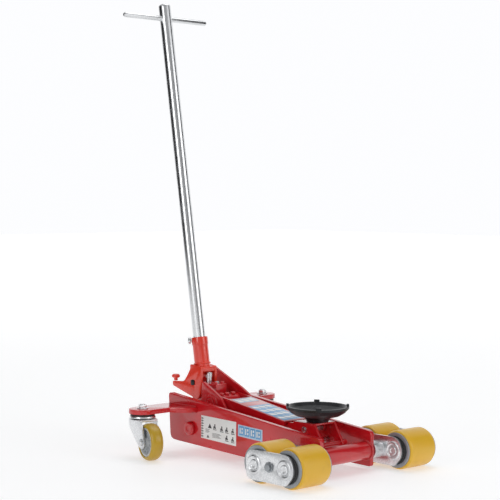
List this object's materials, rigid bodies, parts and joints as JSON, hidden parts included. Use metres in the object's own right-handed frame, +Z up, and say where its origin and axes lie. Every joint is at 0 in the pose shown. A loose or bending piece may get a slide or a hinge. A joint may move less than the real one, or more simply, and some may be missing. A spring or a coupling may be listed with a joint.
{
  "type": "trolley jack",
  "caption": "Low hydraulic trolley jack with tandem roller bogies, swivel casters, parallelogram lift arm, round saddle and long T-bar pump handle.",
  "frame": {"origin": "on the floor midway between the side plates, under the rocking axis of the roller bogies", "axes": "+X forward to the saddle and rollers, +Y the jack's left, +Z up"},
  "size_m": [0.6661, 0.4418, 1.0135],
  "materials": {
    "red_enamel": "gloss",
    "orange_enamel": "satin gloss",
    "chrome": "mirror",
    "bright_steel": "machined",
    "saddle_iron": "satin",
    "zinc": "zinc plated",
    "seal": "matt",
    "tread": "cast polyurethane, satin",
    "core_iron": "painted grey"
  },
  "bodies": {
    "frame": {"anchor_bolt_left": "red_enamel", "anchor_bolt_right": "red_enamel", "arm_pivot_shaft": "red_enamel", "base_plate": "red_enamel", "bogie_cross_shaft": "bright_steel", "caster_kingpin_left": "zinc", "caster_kingpin_right": "zinc", "caster_race_left": "seal", "caster_race_right": "seal", "filler_plug": "bright_steel", "front_cross_tube": "red_enamel", "hydraulic_block": "red_enamel", "inner_wall_left": "red_enamel", "inner_wall_right": "red_enamel", "outrigger_left": "red_enamel", "outrigger_right": "red_enamel", "ram_gland": "bright_steel", "release_valve": "bright_steel", "side_plate_left": "red_enamel", "side_plate_right": "red_enamel"},
    "lift_arm": {"lift_arm": "red_enamel", "heel_bar": "bright_steel", "arm_front_pin": "bright_steel"},
    "parallel_link": {"parallel_link": "red_enamel", "link_anchor_pin": "bright_steel"},
    "saddle_bracket": {"saddle_bracket": "red_enamel", "link_front_pin": "bright_steel"},
    "saddle": {"saddle": "saddle_iron"},
    "ram_rod": {"ram_rod": "chrome"},
    "pump_plunger": {"pump_plunger": "bright_steel"},
    "handle_yoke": {"handle_yoke": "orange_enamel", "lock_screw": "chrome", "yoke_pivot_pin": "saddle_iron", "pedal_knob": "orange_enamel"},
    "handle": {"handle_tube": "chrome", "tbar": "chrome"},
    "bogie_right": {"bogie_inner_plate_right": "zinc", "bogie_outer_plate_right": "zinc", "bogie_centre_bolt_right": "zinc", "roller_axle_front_right": "zinc", "roller_axle_rear_right": "zinc"},
    "roller_front_right": {"roller_core_front_right": "core_iron", "roller_tread_front_right": "tread"},
    "roller_rear_right": {"roller_core_rear_right": "core_iron", "roller_tread_rear_right": "tread"},
    "caster_right": {"caster_fork_right": "zinc"},
    "caster_wheel_right": {"caster_rim_right": "core_iron", "caster_tyre_right": "tread"},
    "bogie_left": {"bogie_inner_plate_left": "zinc", "bogie_outer_plate_left": "zinc", "bogie_centre_bolt_left": "zinc", "roller_axle_front_left": "zinc", "roller_axle_rear_left": "zinc"},
    "roller_front_left": {"roller_core_front_left": "core_iron", "roller_tread_front_left": "tread"},
    "roller_rear_left": {"roller_core_rear_left": "core_iron", "roller_tread_rear_left": "tread"},
    "caster_left": {"caster_fork_left": "zinc"},
    "caster_wheel_left": {"caster_rim_left": "core_iron", "caster_tyre_left": "tread"}
  },
  "joints": [
    {"name": "arm_lift", "type": "hinge", "parent": "frame", "child": "lift_arm", "pos_m": [-0.35, 0, 0.115], "axis": [0, -1, 0], "range_deg": [0, 50]},
    {"name": "link_swing", "type": "hinge", "parent": "frame", "child": "parallel_link", "pos_m": [-0.338, 0, 0.089], "axis": [0, -1, 0], "range_deg": [0, 50]},
    {"name": "bracket_level", "type": "hinge", "parent": "lift_arm", "child": "saddle_bracket", "pos_m": [-0.08, 0, 0.086], "axis": [0, -1, 0], "range_deg": [-50, 0]},
    {"name": "saddle_turn", "type": "hinge", "parent": "saddle_bracket", "child": "saddle", "pos_m": [-0.072, 0, 0.1008], "axis": [0, 0, 1], "continuous": true},
    {"name": "ram_stroke", "type": "slide", "parent": "frame", "child": "ram_rod", "axis": [1, 0, 0], "range_m": [0, 0.033]},
    {"name": "handle_pump", "type": "hinge", "parent": "frame", "child": "handle_yoke", "pos_m": [-0.437, 0, 0.149], "axis": [0, -1, 0], "range_deg": [0, 55]},
    {"name": "plunger_stroke", "type": "slide", "parent": "frame", "child": "pump_plunger", "axis": [0, 0, 1], "range_m": [0, 0.012]},
    {"name": "handle_twist", "type": "hinge", "parent": "handle_yoke", "child": "handle", "pos_m": [-0.4317, 0, 0.187], "axis": [-0.165, 0, 0.9863], "range_deg": [-45, 45]},
    {"name": "bogie_rock_right", "type": "hinge", "parent": "frame", "child": "bogie_right", "pos_m": [0, 0, 0.041], "axis": [0, 1, 0], "range_deg": [-6, 6]},
    {"name": "roller_spin_front_right", "type": "hinge", "parent": "bogie_right", "child": "roller_front_right", "pos_m": [0.04235, -0.1616, 0.041], "axis": [0, 1, 0], "continuous": true},
    {"name": "roller_spin_rear_right", "type": "hinge", "parent": "bogie_right", "child": "roller_rear_right", "pos_m": [-0.04235, -0.1616, 0.041], "axis": [0, 1, 0], "continuous": true},
    {"name": "caster_swivel_right", "type": "hinge", "parent": "frame", "child": "caster_right", "pos_m": [-0.4234, -0.1828, 0.086], "axis": [0, 0, 1], "continuous": true},
    {"name": "caster_roll_right", "type": "hinge", "parent": "caster_right", "child": "caster_wheel_right", "pos_m": [-0.3838, -0.19341, 0.04], "axis": [0.2588, 0.9659, 0], "continuous": true},
    {"name": "bogie_rock_left", "type": "hinge", "parent": "frame", "child": "bogie_left", "pos_m": [0, 0, 0.041], "axis": [0, 1, 0], "range_deg": [-6, 6]},
    {"name": "roller_spin_front_left", "type": "hinge", "parent": "bogie_left", "child": "roller_front_left", "pos_m": [0.04235, 0.1616, 0.041], "axis": [0, 1, 0], "continuous": true},
    {"name": "roller_spin_rear_left", "type": "hinge", "parent": "bogie_left", "child": "roller_rear_left", "pos_m": [-0.04235, 0.1616, 0.041], "axis": [0, 1, 0], "continuous": true},
    {"name": "caster_swivel_left", "type": "hinge", "parent": "frame", "child": "caster_left", "pos_m": [-0.4234, 0.1828, 0.086], "axis": [0, 0, 1], "continuous": true},
    {"name": "caster_roll_left", "type": "hinge", "parent": "caster_left", "child": "caster_wheel_left", "pos_m": [-0.3838, 0.19341, 0.04], "axis": [-0.2588, 0.9659, 0], "continuous": true}
  ],
  "couplings": [
    {"joint": "link_swing", "follows": "arm_lift", "ratio": 1},
    {"joint": "bracket_level", "follows": "arm_lift", "ratio": -1},
    {"joint": "ram_stroke", "follows": "arm_lift", "m_per_rad": 0.0377},
    {"joint": "plunger_stroke", "follows": "handle_pump", "m_per_rad": 0.0124}
  ]
}
